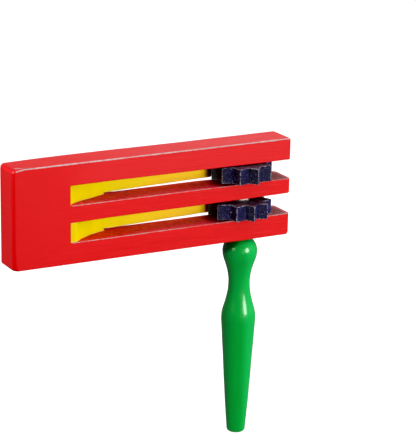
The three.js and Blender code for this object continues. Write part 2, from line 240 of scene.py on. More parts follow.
# ------------------------------------------------------------------ material helpers
class Paint:
    """A Principled material whose nodes work in the object's own millimetres.

    With rest, they work in the coordinates kept in the mesh, for a strip that bends."""

    def __init__(self, name, rest=False):
        self.mat = bpy.data.materials.new(name)
        self.mat.use_nodes = True
        self.tree = self.mat.node_tree
        self.tree.nodes.clear()
        out = self.new("ShaderNodeOutputMaterial")
        self.bsdf = self.new("ShaderNodeBsdfPrincipled")
        self.link(self.bsdf.outputs[0], out.inputs[0])
        tc = self.new("ShaderNodeTexCoord")
        if rest:
            kept = self.new("ShaderNodeAttribute", attribute_type="GEOMETRY", attribute_name="rest")
            self.p = kept.outputs["Vector"]
        else:
            self.p = self.vec("MULTIPLY", tc.outputs["Object"], (1000.0, 1000.0, 1000.0))
        sep = self.new("ShaderNodeSeparateXYZ")
        self.link(self.p, sep.inputs[0])
        self.x, self.y = sep.outputs[0], sep.outputs[1]
        self.z = self.math("SUBTRACT", sep.outputs[2], LIFT)
        sepn = self.new("ShaderNodeSeparateXYZ")
        self.link(tc.outputs["Normal"], sepn.inputs[0])
        self.nx, self.ny, self.nz = sepn.outputs[0], sepn.outputs[1], sepn.outputs[2]

    def new(self, kind, **props):
        n = self.tree.nodes.new(kind)
        for k, v in props.items():
            setattr(n, k, v)
        return n

    def link(self, a, b):
        self.tree.links.new(a, b)

    def put(self, value, socket):
        if isinstance(value, bpy.types.NodeSocket):
            self.link(value, socket)
        elif isinstance(value, (tuple, list)):
            v = tuple(value)
            if len(socket.default_value) == 4 and len(v) == 3:
                v = v + (1.0,)
            socket.default_value = v
        else:
            socket.default_value = value

    def math(self, op, a, b=0.0, c=0.0, clamp=False):
        n = self.new("ShaderNodeMath", operation=op, use_clamp=clamp)
        self.put(a, n.inputs[0])
        self.put(b, n.inputs[1])
        if len(n.inputs) > 2:
            self.put(c, n.inputs[2])
        return n.outputs[0]

    def add(self, a, b):
        return self.math("ADD", a, b)

    def sub(self, a, b):
        return self.math("SUBTRACT", a, b)

    def mul(self, *terms):
        r = terms[0]
        for t in terms[1:]:
            r = self.math("MULTIPLY", r, t)
        return r

    def top(self, *terms):
        r = terms[0]
        for t in terms[1:]:
            r = self.math("MAXIMUM", r, t)
        return r

    def vec(self, op, a, b):
        n = self.new("ShaderNodeVectorMath", operation=op)
        self.put(a, n.inputs[0])
        self.put(b, n.inputs[1])
        return n.outputs[0]

    def step(self, value, lo, hi, out0=0.0, out1=1.0):
        """A smooth step of value from lo to hi. lo may be the larger."""
        n = self.new("ShaderNodeMapRange", interpolation_type="SMOOTHSTEP", clamp=True)
        if lo > hi:
            lo, hi, out0, out1 = hi, lo, out1, out0
        for s, v in zip(("Value", "From Min", "From Max", "To Min", "To Max"), (value, lo, hi, out0, out1)):
            self.put(v, n.inputs[s])
        return n.outputs[0]

    def near(self, ax, ay, width, soft):
        """1 within width of the line where both distances are 0, fading over soft."""
        d = self.math("SQRT", self.add(self.mul(ax, ax), self.mul(ay, ay)))
        n = self.new("ShaderNodeMapRange", interpolation_type="SMOOTHSTEP", clamp=True)
        self.put(self.sub(d, width), n.inputs["Value"])
        n.inputs["From Min"].default_value = 0.0
        n.inputs["From Max"].default_value = soft
        n.inputs["To Min"].default_value = 1.0
        n.inputs["To Max"].default_value = 0.0
        return n.outputs[0]

    def mix(self, fac, a, b):
        n = self.new("ShaderNodeMix", data_type="RGBA", clamp_factor=True)
        self.put(fac, n.inputs[0])
        self.put(a, n.inputs[6])
        self.put(b, n.inputs[7])
        return n.outputs[2]

    def fmix(self, fac, a, b):
        n = self.new("ShaderNodeMix", data_type="FLOAT", clamp_factor=True)
        self.put(fac, n.inputs[0])
        self.put(a, n.inputs[2])
        self.put(b, n.inputs[3])
        return n.outputs[0]

    def noise(self, scale, detail=3.0, rough=0.5, offset=(0.0, 0.0, 0.0), distortion=0.0, turn=None):
        """Noise with scale in cycles per millimetre along x, y and z."""
        v = self.p
        if turn:
            m = self.new("ShaderNodeMapping", vector_type="POINT")
            self.link(v, m.inputs["Vector"])
            m.inputs["Rotation"].default_value = tuple(math.radians(t) for t in turn)
            v = m.outputs[0]
        v = self.vec("MULTIPLY", v, scale)
        v = self.vec("ADD", v, offset)
        n = self.new("ShaderNodeTexNoise", noise_dimensions="3D")
        self.link(v, n.inputs["Vector"])
        n.inputs["Scale"].default_value = 1.0
        n.inputs["Detail"].default_value = detail
        n.inputs["Roughness"].default_value = rough
        n.inputs["Distortion"].default_value = distortion
        return n.outputs[0]

    def attribute(self, name):
        n = self.new("ShaderNodeAttribute", attribute_type="GEOMETRY", attribute_name=name)
        return n.outputs["Fac"]

    def bump(self, height, distance, strength=1.0, normal=None):
        n = self.new("ShaderNodeBump")
        n.inputs["Strength"].default_value = strength
        n.inputs["Distance"].default_value = distance
        self.put(height, n.inputs["Height"])
        if normal is not None:
            self.link(normal, n.inputs["Normal"])
        return n.outputs[0]

    def finish(self, color, roughness, normal=None, **fixed):
        self.put(color, self.bsdf.inputs["Base Color"])
        self.put(roughness, self.bsdf.inputs["Roughness"])
        if normal is not None:
            self.link(normal, self.bsdf.inputs["Normal"])
        for k, v in fixed.items():
            self.bsdf.inputs[k.replace("_", " ")].default_value = v
        return self.mat


# ------------------------------------------------------------------ materials
def red_paint():
    g = Paint("red_paint")
    wide = g.noise((0.016, 0.22, 0.22), 3, 0.55)
    grain = g.noise((0.045, 1.15, 1.15), 4, 0.6, offset=(3.1, 8.2, 1.7))
    fine = g.noise((0.16, 3.6, 3.6), 3, 0.6, offset=(9.4, 2.2, 5.1))
    cloud = g.noise((0.03, 0.03, 0.03), 2, 0.5, offset=(1.3, 4.0, 7.7))

    deep, bright = (0.645, 0.0036, 0.0046), (0.705, 0.0080, 0.0094)
    tone = g.add(g.mul(grain, 0.42), g.add(g.mul(fine, 0.43), g.mul(wide, 0.15)))
    color = g.mix(g.step(tone, 0.36, 0.64), deep, bright)
    color = g.mix(g.mul(g.step(cloud, 0.35, 0.7), 0.25), color, (0.69, 0.011, 0.014))

    # darker towards the closed end and lighter towards the open end: a painted gradient of shade and light; paler along
    # the top bar's lower edge
    color = g.mix(g.mul(g.step(g.x, -95.0, -150.0), 0.8), color, (0.605, 0.0036, 0.0054))
    color = g.mix(g.mul(g.step(g.x, -60.0, 10.0), 0.7), color, (0.735, 0.0085, 0.0100))
    color = g.mix(g.mul(g.step(g.z, UPP[1] - 1.0, UPP[1] + 1.0), g.step(g.x, -120.0, -90.0), g.step(g.nz, 0.7, 0.4), 0.5), color, (0.690, 0.0200, 0.0245))
    # faint streaks of the grain, plainer towards the open end
    lines = g.noise((0.05, 1.6, 1.6), 4, 0.7, offset=(1.0, 7.0, 3.0), turn=(0, -2, 0))
    stretch = g.add(0.25, g.mul(g.step(g.x, -110.0, -20.0), 0.75))
    color = g.mix(g.mul(g.step(lines, 0.54, 0.72), stretch, 0.60), color, (0.780, 0.0360, 0.0410))
    color = g.mix(g.mul(g.step(lines, 0.46, 0.28), stretch, 0.75), color, (0.540, 0.0050, 0.0060))
    # the closed end face is painted lighter, a painted light where the side lamps fall, and its rounded corner darker:
    # painted shade
    color = g.mix(g.mul(g.step(g.nx, -0.5, -0.85), 0.9), color, (0.810, 0.0170, 0.0200))
    corner = g.mul(g.step(g.nx, -0.22, -0.50), g.step(g.nx, -0.985, -0.93), g.step(g.ny, -0.10, -0.22), 0.8)
    color = g.mix(corner, color, (0.560, 0.0022, 0.0028))
    # the lower arrises are painted darker: painted shade under the edges
    under_arris_shade = g.mul(g.step(g.nz, -0.05, -0.35), g.step(g.y, -T2 + 1.4, -T2 + 0.9), 0.85)
    color = g.mix(under_arris_shade, color, (0.470, 0.0030, 0.0038))

    # the top face is painted paler in streaks along the grain: a painted sheen
    up = g.step(g.nz, 0.55, 0.9)
    on_top = g.mul(up, g.step(g.z, H - 1.2, H - 0.4))
    along = g.step(g.x, -118.0, -15.0)
    streak = g.step(g.add(g.mul(grain, 0.55), g.mul(fine, 0.45)), 0.42, 0.66)
    top_sheen = g.mul(on_top, g.add(g.mul(along, 0.06), g.mul(streak, g.add(0.02, g.mul(along, 0.12)))))
    color = g.mix(top_sheen, color, (0.92, 0.32, 0.34))

    # sawn slot floors: a duller, rougher, browner red with slanting saw marks
    in_slot = g.mul(g.step(g.z, H - 8.0, H - 10.0), g.step(g.x, SLOT_X - 0.5, SLOT_X + 0.5))
    floor = g.mul(up, in_slot)
    saw = g.noise((0.35, 0.60, 0.3), 4, 0.7, offset=(2.0, 6.0, 3.0), turn=(0, 0, 32))
    saw2 = g.noise((0.9, 0.35, 0.6), 3, 0.6, offset=(7.0, 1.0, 4.0), turn=(0, 0, -12))
    marks = g.add(g.mul(saw, 0.55), g.mul(saw2, 0.45))
    floor_back = g.mix(g.step(marks, 0.40, 0.62), (0.50, 0.012, 0.044), (0.94, 0.034, 0.074))
    floor_front = g.mix(g.step(marks, 0.40, 0.62), (0.52, 0.010, 0.036), (0.99, 0.030, 0.064))
    floor_color = g.mix(g.step(g.add(g.y, g.mul(g.sub(marks, 0.5), 8.0)), -6.5, 4.0), floor_front, floor_back)
    # the sawn wood is paler further in, where the tongues kept the brush away
    floor_color = g.mix(g.mul(g.step(g.x, -94.0, -45.0), 0.75), floor_color, g.mix(g.step(marks, 0.40, 0.62), (0.74, 0.026, 0.066), (1.0, 0.062, 0.105)))
    low_root = g.mul(g.step(g.z, 28.0, 26.0), g.step(g.x, -52.0, -84.0), 0.85)
    floor_color = g.mix(low_root, floor_color, g.mix(g.step(marks, 0.40, 0.62), (0.62, 0.004, 0.010), (0.98, 0.012, 0.026)))
    color = g.mix(g.mul(floor, 0.9), color, floor_color)

    # the floors are painted dark where the teeth pass: a painted shadow of the cogs
    axle = g.math("SQRT", g.add(g.mul(g.x, g.x), g.mul(g.y, g.y)))
    reach = g.sub(axle, g.mul(g.step(g.z, 28.0, 26.0), 2.6))
    cog_shadow = g.mul(floor, g.step(g.add(reach, g.mul(g.sub(marks, 0.5), 3.0)), 23.5, 15.5), g.step(g.x, 12.0, 4.0))
    color = g.mix(g.mul(cog_shadow, 0.88), color, (0.060, 0.006, 0.006))

    # the bar ends past the cogs are rubbed by the teeth
    wave = g.mul(g.sub(g.noise((0.3, 0.3, 0.3), 2, 0.5, offset=(4.0, 9.0, 1.0)), 0.5), 1.6)
    brim = g.add(g.sub(g.x, 25.55), g.add(wave, g.mul(g.y, -0.05)))
    past = g.mul(floor, g.step(g.x, 13.0, 18.5), g.step(brim, 0.25, -0.15))
    rub_and_shadow = g.noise((0.55, 0.9, 0.5), 4, 0.7, offset=(5.0, 2.0, 9.0), distortion=1.6)
    scribble = g.step(g.math("ABSOLUTE", g.sub(rub_and_shadow, 0.5)), 0.045, 0.012)
    color = g.mix(g.mul(past, 0.82), color, g.mix(g.step(rub_and_shadow, 0.35, 0.65), (0.17, 0.030, 0.030), (0.33, 0.085, 0.080)))
    color = g.mix(g.mul(past, scribble, 0.75), color, (0.66, 0.34, 0.33))

    # worn arrises: along the top, along the slot floors, and round the bar ends; their pale colour is partly bare wood
    # and partly a painted highlight
    along_n = g.noise((0.10, 0.1, 0.1), 4, 0.65, offset=(0.7, 3.0, 5.0))
    tight_n = g.noise((0.55, 0.5, 0.5), 3, 0.6, offset=(6.0, 1.0, 2.0))
    w = g.add(g.mul(along_n, 0.55), g.mul(tight_n, 0.35))
    front = g.add(g.y, T2 - 0.10)
    back = g.sub(g.y, T2 - 0.10)
    top = g.sub(g.z, g.sub(H - 0.10, g.step(g.x, -135.5, -142.5, 0.0, 0.85)))
    to_floor_u = g.sub(g.z, UPP[0] - 0.08)
    to_floor_l = g.sub(g.z, LOW[0] - 0.08)
    glint_wear_top = g.mul(g.near(front, top, g.sub(w, 0.17), 0.16), g.step(g.x, -142.0, -141.2), 0.96)
    glint_wear_back = g.mul(g.near(back, top, g.sub(w, 0.22), 0.16), 0.85)
    right_of_start = g.step(g.x, SLOT_X + 0.5, SLOT_X + 1.5)
    glint_wear_u = g.mul(g.near(front, to_floor_u, g.sub(w, 0.30), 0.12), right_of_start, 0.85)
    glint_wear_l = g.mul(g.near(front, to_floor_l, g.sub(w, 0.30), 0.12), right_of_start, 0.85)
    # the second line of the double edge at the closed end
    second = g.mul(
        g.near(g.add(g.y, g.add(5.2, g.mul(g.add(g.x, 140.2), 0.37))), g.sub(g.z, H), g.add(0.25, g.mul(w, 0.5)), 0.45),
        g.step(g.x, -141.2, -140.2), g.step(g.x, -130.5, -133.5), 0.9)
    # edges of the bar ends
    bar_top_u = g.mul(g.near(brim, g.sub(g.z, UPP[0]), g.sub(g.mul(w, 0.8), 0.22), 0.30), 0.75)
    bar_top_l = g.mul(g.near(brim, g.sub(g.z, LOW[0]), g.sub(g.mul(w, 0.8), 0.22), 0.30), 0.75)
    spot = g.mul(g.near(g.add(g.x, 143.2), g.sub(g.z, H - 0.9), 0.25, 0.5), g.step(g.ny, -0.1, -0.4), 0.55)
    wear_and_glint = g.top(spot, glint_wear_top, glint_wear_back, glint_wear_u, glint_wear_l, second, bar_top_u, bar_top_l)
    bare_and_glint = g.mix(g.step(tight_n, 0.3, 0.7), (0.40, 0.29, 0.29), (0.52, 0.44, 0.44))
    bare_and_glint = g.mix(g.top(glint_wear_u, glint_wear_l), bare_and_glint, g.mix(g.step(tight_n, 0.3, 0.7), (0.24, 0.24, 0.24), (0.42, 0.40, 0.39)))
    bare_and_glint = g.mix(g.mul(second, g.step(g.x, -138.5, -136.5)), bare_and_glint, (0.26, 0.090, 0.085))
    color = g.mix(wear_and_glint, color, bare_and_glint)

    height = g.add(g.mul(grain, 0.5), g.add(g.mul(fine, 0.35), g.mul(floor, g.mul(marks, 2.2))))
    n = g.bump(height, 0.00010, 0.55)
    rough = g.add(0.40, g.add(g.mul(grain, 0.14), g.add(g.mul(floor, 0.14), g.mul(wear_and_glint, 0.2))))
    return g.finish(color, rough, n, Specular_IOR_Level=0.20)


def yellow_paint():
    g = Paint("yellow_paint", rest=True)
    grain = g.noise((0.05, 0.9, 0.9), 4, 0.6, offset=(2.0, 5.0, 1.0), turn=(0, -9, 0))
    fine = g.noise((0.2, 3.0, 3.0), 3, 0.55, offset=(8.0, 3.0, 6.0))
    tone = g.add(g.mul(grain, 0.6), g.mul(fine, 0.4))
    color = g.mix(g.step(tone, 0.34, 0.66), (0.765, 0.660, 0.0004), (0.805, 0.695, 0.0014))
    color = g.mix(g.step(g.x, -96.5, -89.5), color, g.mix(g.step(tone, 0.34, 0.66), (0.755, 0.700, 0.0003), (0.795, 0.740, 0.0010)))
    color = g.mix(g.mul(g.step(g.x, -103.5, -99.5), g.step(g.x, -91.0, -96.0), 0.85), color, (0.725, 0.645, 0.0004))
    # the roots' thick ends are painted darker, most of all where the lower one lies flush: painted shade on the faces
    # that turn full to the lamps
    lower = g.step(g.z, 28.0, 26.0)
    color = g.mix(g.mul(g.step(g.x, -99.0, -104.0), 0.9), color, g.mix(lower, (0.725, 0.608, 0.0004), (0.725, 0.585, 0.0004)))
    color = g.mix(g.mul(lower, g.step(g.x, -106.7, -107.5)), color, (0.750, 0.530, 0.0004))
    # the blades are painted brighter and more orange towards their free ends: painted light, with the red bars'
    # reflected light painted in
    color = g.mix(g.step(g.x, -84.0, -31.0), color, g.mix(g.step(tone, 0.34, 0.66), (0.960, 0.725, 0.0220), (0.995, 0.775, 0.0330)))
    # the last stretch of each blade is painted brighter still, a painted light, and then near black up to its end: a
    # painted shadow of the cog
    color = g.mix(g.mul(g.step(g.x, -21.0, -16.5), 0.7), color, (0.980, 0.600, 0.0260))
    rub_and_shadow = g.mul(g.step(g.add(g.x, g.mul(g.sub(grain, 0.5), 1.2)), -18.2, -14.2), 0.96)
    color = g.mix(rub_and_shadow, color, (0.050, 0.026, 0.024))
    # pale lines along the blades' edges: partly wear, partly a painted highlight
    edge = g.mul(g.step(g.attribute("edge"), 0.25, 0.95), g.step(g.noise((0.25, 0.25, 0.25), 3, 0.6), 0.32, 0.55), 0.6)
    color = g.mix(edge, color, (0.93, 0.84, 0.36))
    n = g.bump(g.add(g.mul(grain, 0.6), g.mul(fine, 0.4)), 0.00008, 0.5)
    rough = g.add(0.42, g.mul(tone, 0.16))
    return g.finish(color, rough, n, Specular_IOR_Level=0.16)


def navy_dye():
    g = Paint("navy_dye")
    blotch = g.noise((0.22, 0.22, 0.35), 4, 0.6, offset=(1.0, 2.0, 3.0))
    fibre = g.noise((1.1, 1.1, 0.25), 4, 0.65, offset=(4.0, 4.0, 4.0))
    speck = g.noise((2.1, 2.1, 1.5), 2, 0.55, offset=(8.0, 1.0, 6.0))
    speck2 = g.noise((3.6, 3.6, 3.0), 1, 0.5, offset=(2.0, 9.0, 3.0))
    side = g.step(g.math("ABSOLUTE", g.nz), 0.75, 0.45)
    mottle = g.step(g.add(g.mul(blotch, 0.55), g.mul(fibre, 0.45)), 0.38, 0.62)
    # the flanks that face the lamps are painted a brighter navy than those facing away: painted light and shade
    toward = g.add(g.mul(g.nx, 0.56), g.mul(g.ny, -0.83))
    color = g.mix(mottle, (0.0080, 0.0070, 0.015), (0.0125, 0.0110, 0.030))
    bright = g.mix(mottle, (0.0080, 0.0070, 0.028), (0.0150, 0.0125, 0.072))
    color = g.mix(g.step(toward, 0.30, 0.90), color, bright)
    # the lower cog came out of the dye a little paler, with the same painted light on its flanks that face the lamps
    pale = g.mix(g.step(toward, 0.30, 0.90), g.mix(mottle, (0.0095, 0.0085, 0.018), (0.0165, 0.0145, 0.042)),
                 g.mix(mottle, (0.0095, 0.0085, 0.040), (0.0175, 0.0150, 0.098)))
    color = g.mix(g.step(g.z, 28.0, 26.0), color, pale)
    flat = g.mix(g.step(blotch, 0.35, 0.65), (0.022, 0.010, 0.020), (0.070, 0.028, 0.050))
    color = g.mix(side, flat, color)
    # the left flanks, turned from the lamps, are painted paler: painted fill light in their shade
    fill_on_shaded_flank = g.mul(g.step(g.nx, -0.3, -0.7), g.step(g.x, -12.5, -14.5))
    color = g.mix(fill_on_shaded_flank, color, (0.038, 0.052, 0.058))
    dust = g.mul(g.step(speck, 0.60, 0.67), g.add(0.25, g.mul(g.step(blotch, 0.35, 0.6), 0.5)), g.sub(1.0, g.mul(fill_on_shaded_flank, 0.8)))
    dust2 = g.mul(g.step(speck2, 0.64, 0.72), 0.40)
    color = g.mix(g.mul(g.top(dust, dust2), 0.6), color, (0.32, 0.30, 0.41))
    broken = g.step(g.noise((1.3, 1.3, 1.3), 3, 0.7, offset=(3.0, 3.0, 8.0)), 0.46, 0.60)
    amount = g.step(g.noise((0.11, 0.11, 0.3), 2, 0.5, offset=(6.0, 2.0, 4.0)), 0.36, 0.60)
    edge = g.mul(g.step(g.attribute("edge"), 0.55, 0.98), broken, g.add(0.35, g.mul(amount, 0.65)))
    color = g.mix(g.mul(edge, 0.9), color, (0.56, 0.52, 0.56))
    height = g.add(g.mul(fibre, 0.7), g.mul(speck, 0.5))
    n = g.bump(height, 0.00018, 0.8)
    rough = g.add(0.52, g.mul(fibre, 0.2))
    return g.finish(color, rough, n, Specular_IOR_Level=0.14)


def green_gloss():
    g = Paint("green_gloss")
    cloud = g.noise((0.05, 0.05, 0.03), 2, 0.5, offset=(3.0, 6.0, 2.0))
    strands = g.noise((0.8, 0.8, 0.03), 3, 0.55, offset=(5.0, 2.0, 8.0))
    rings = g.noise((0.02, 0.02, 1.3), 3, 0.6, offset=(7.0, 7.0, 1.0))
    color = g.mix(g.step(cloud, 0.35, 0.65), (0.0026, 0.375, 0.046), (0.0040, 0.425, 0.056))
    color = g.mix(g.mul(g.step(strands, 0.35, 0.65), 0.35), color, (0.0030, 0.350, 0.043))
    color = g.mix(g.mul(g.step(g.z, -30.0, -62.0), 0.9), color, g.mix(g.step(strands, 0.35, 0.65), (0.0020, 0.372, 0.036), (0.0024, 0.340, 0.030)))
    # the side towards the lamps is painted lighter, and the other side of the belly darker: painted light and shade
    lateral = g.add(g.mul(g.x, 0.876), g.mul(g.y, -0.482))
    color = g.mix(g.mul(g.step(lateral, 1.5, 6.5), 0.85), color, (0.0040, 0.462, 0.078))
    color = g.mix(g.mul(g.step(lateral, -2.0, -7.0), g.step(g.z, -34.0, -50.0), 0.8), color, (0.0022, 0.285, 0.040))
    # the ball's shoulder under the board is painted dark, more on one side: a painted shadow of the board
    u = g.add(g.mul(g.x, 0.876), g.mul(g.y, -0.482))
    board_shadow = g.step(g.sub(g.z, g.mul(g.math("MINIMUM", u, 0.0), 0.875)), -3.6, -0.6)
    color = g.mix(g.mul(board_shadow, g.step(g.z, -14.0, -8.0), 0.80), color, (0.0060, 0.030, 0.006))
    height = g.add(g.mul(strands, 0.6), g.mul(rings, 0.4))
    n = g.bump(height, 0.00003, 0.05)
    rough = g.add(0.19, g.mul(strands, 0.05))
    return g.finish(color, rough, n, Specular_IOR_Level=0.62)


def bare_wood():
    g = Paint("bare_wood")
    grain = g.noise((1.1, 1.1, 0.05), 4, 0.6, offset=(1.0, 3.0, 5.0))
    pores = g.noise((4.0, 4.0, 0.35), 2, 0.6, offset=(6.0, 3.0, 2.0))
    color = g.mix(g.step(grain, 0.35, 0.65), (0.92, 0.84, 0.66), (0.97, 0.92, 0.78))
    color = g.mix(g.mul(g.step(pores, 0.6, 0.75), 0.4), color, (0.50, 0.35, 0.18))
    # the cogs' dye has crept along the dowel where they sit on it
    creep = g.mul(g.sub(g.noise((0.45, 0.45, 0.45), 3, 0.6, offset=(2.0, 7.0, 4.0)), 0.5), 1.1)
    # the dark band reaches further up at two opposite sides of the dowel
    u = g.math("ABSOLUTE", g.sub(g.add(g.mul(g.x, 0.876), g.mul(g.y, -0.482)), 1.5))
    level = g.sub(g.add(g.z, creep), g.mul(g.step(u, 2.3, 3.1), 2.2))
    low = g.mul(g.step(level, LOWER_COG_Z[0] - 0.7, LOWER_COG_Z[0] - 0.4), g.step(level, LOWER_COG_Z[1] + 0.85, LOWER_COG_Z[1] + 0.6))
    high = g.mul(g.step(level, UPPER_COG_Z[0] - 0.7, UPPER_COG_Z[0] - 0.4), g.step(level, UPPER_COG_Z[1] + 0.75, UPPER_COG_Z[1] + 0.5))
    dye = g.top(low, high)
    color = g.mix(g.mul(dye, 0.93), color, (0.016, 0.012, 0.030))
    n = g.bump(g.add(grain, g.mul(pores, 0.5)), 0.0001, 0.6)
    return g.finish(color, g.add(0.55, g.mul(grain, 0.15)), n, Specular_IOR_Level=0.35)


def brad_steel():
    g = Paint("brad_steel")
    fine = g.noise((3.0, 3.0, 3.0), 3, 0.6)
    spot = g.noise((1.2, 1.2, 1.2), 3, 0.6, offset=(4.0, 1.0, 9.0))
    color = g.mix(g.step(spot, 0.45, 0.7), (0.74, 0.73, 0.76), (0.44, 0.43, 0.45))
    n = g.bump(fine, 0.00003, 0.4)
    return g.finish(color, g.add(0.20, g.mul(fine, 0.15)), n, Metallic=1.0)


RED, YELLOW, NAVY = red_paint(), yellow_paint(), navy_dye()
GREEN, WOOD, STEEL = green_gloss(), bare_wood(), brad_steel()


# ------------------------------------------------------------------ the board
def inset(y, r):
    """How far a rounding of radius r has cut back at depth y."""
    d = abs(y) - (T2 - r)
    return 0.0 if d <= 0 else r - math.sqrt(max(r * r - d * d, 0.0))


# (x side, z, corner radius): the outline runs from the closed end's lower corner
CORNERS = [
    ("L", 0.0, 1.5), ("R", 0.0, 1.9), ("R", LOW[0], 0.4), ("S", LOW[0], 0.22),
    ("S", LOW[1], 0.22), ("R", LOW[1], 0.9), ("R", UPP[0], 0.4), ("S", UPP[0], 0.22),
    ("S", UPP[1], 0.22), ("R", UPP[1], 0.55), ("R", H, 1.75), ("L", H, 2.6),
]


def arris(x, z, seed):
    """Radius of the small rounding along a long edge, a little uneven as sanded by hand."""
    base = 0.46 if z in (0.0, H) else 0.33
    return base * (1.0 + 0.30 * wob(x, seed)) + (0.35 * max(0.0, (-128.0 - x) / 16.0) if z == H else 0.0)


def outline(y):
    k = []
    for s, z, r in CORNERS:
        pr = BAR_BACK_R[z] if s == "R" and y > 0 else 2.9 if (s, z) == ("L", 0.0) and y < 0 else PLAN_R
        e = inset(y, pr)
        x = {"L": X0 + e, "R": X1 - e, "S": SLOT_X}[s]
        if (s, z) == ("L", 0.0) and y < 0:       # this corner is rounded off more at the front
            r += 1.6 * min(1.0, inset(y, 3.4) / 2.2)
        k.append((x, z, r if s == "S" else max(min(0.75, r), r * (1 - 0.6 * e / pr)), z))
    n = len(k)
    pts = []
    for i in range(n):
        x, z, r, zname = k[i]
        px, pz = k[i - 1][0], k[i - 1][1]
        qx, qz = k[(i + 1) % n][0], k[(i + 1) % n][1]
        u = np.array([x - px, z - pz]) / math.hypot(x - px, z - pz)
        w = np.array([qx - x, qz - z]) / math.hypot(qx - x, qz - z)
        centre = np.array([x, z]) - u * r + w * r
        turn = u[0] * w[1] - u[1] * w[0]
        steps = 3 if CORNERS[i][0] == "S" else 8
        for s in range(steps + 1):
            f = math.pi / 2 * s / steps
            p = centre + r * (-w * math.cos(f) + u * math.sin(f))
            out = (p - centre) / r * (1 if turn > 0 else -1)
            pts.append((p[0], p[1], out[0], out[1], zname, CORNERS[i][0]))
        if abs(w[0]) > 0.5:                      # a long side: stations along it
            nr = k[(i + 1) % n][2]
            a, b = x + w[0] * r, qx - w[0] * nr
            m = 74
            for s in range(1, m):
                pts.append((a + (b - a) * s / m, z, 0.0, 1.0 if turn_up(i) else -1.0, z, "-"))
        else:
            nr = k[(i + 1) % n][2]
            a, b = z + w[1] * r, qz - w[1] * nr
            for s in range(1, 6):
                zz = a + (b - a) * s / 6
                out = 1.0 if CORNERS[i][0] in ("R", "S") else -1.0
                pts.append((x, zz, out, 0.0, z if abs(zz - z) < abs(zz - qz) else qz, CORNERS[i][0]))
    ring = []
    for px, pz, ox, oz, zname, side in pts:
        if zname in (LOW[0], UPP[0]) and y > 0 and oz > 0:
            table = LOWER_FLOOR_BACK if zname == LOW[0] else UPPER_FLOOR_BACK
            az = inset(y, float(np.interp(px, *zip(*table))) * (1 + 0.05 * wob(px, 3 + zname)))
        else:
            az = inset(y, arris(px, zname, 1 + zname * 0.37 + (5 if y > 0 else 0)))
        dx = -ox * inset(y, 0.30) if side == "S" else 0.0
        bulge = 0.0
        if y > 0 and pz > UPP[1]:
            bulge = 0.55 * min(1.0, (pz - UPP[1]) / 8.0) * min(1.0, max(0.0, (px + 138.0) / 14.0)) * y / T2
        ring.append((px + dx, y + bulge, pz - oz * az + wander(px, pz)))
    return ring


def turn_up(i):
    """True if the long side after corner i faces up: a slot floor or the top."""
    return CORNERS[i][1] in (LOW[0], UPP[0], H)


def board():
    cuts = [2.25, 1.95, 1.63, 1.35, 1.1, 0.86, 0.66, 0.5, 0.38, 0.27, 0.18, 0.1, 0.04, 0.0]
    ys = [-T2 + c for c in reversed(cuts)] + [-3.4, 3.4] + [T2 - c for c in cuts]
    rings = [outline(y) for y in ys]
    verts, faces = loft(rings)
    ob = mesh_object("frame_board", verts, faces, RED, sharp=50)
    # the running bore: right through the lower two bars, blind in the top one
    profile = [(0, -1.5), (BORE_R, -1.5), (BORE_R, BORE_TOP - 0.3), (BORE_R - 0.3, BORE_TOP), (0, BORE_TOP)]
    cv, cf = lathe(profile, 96)
    cutter = mesh_object("bore_cutter", cv, cf, RED, sharp=50)
    m = ob.modifiers.new("bore", "BOOLEAN")
    m.operation, m.solver, m.object = "DIFFERENCE", "EXACT", cutter
    dg = bpy.context.evaluated_depsgraph_get()
    cut = bpy.data.meshes.new_from_object(ob.evaluated_get(dg), depsgraph=dg)
    ob.modifiers.clear()
    old = ob.data
    ob.data = cut
    bpy.data.meshes.remove(old)
    tool = cutter.data
    bpy.data.objects.remove(cutter)
    bpy.data.meshes.remove(tool)
    tidy(ob.data, 50)
    ob.data.name = "frame_board"
    weighted(ob)
    return ob


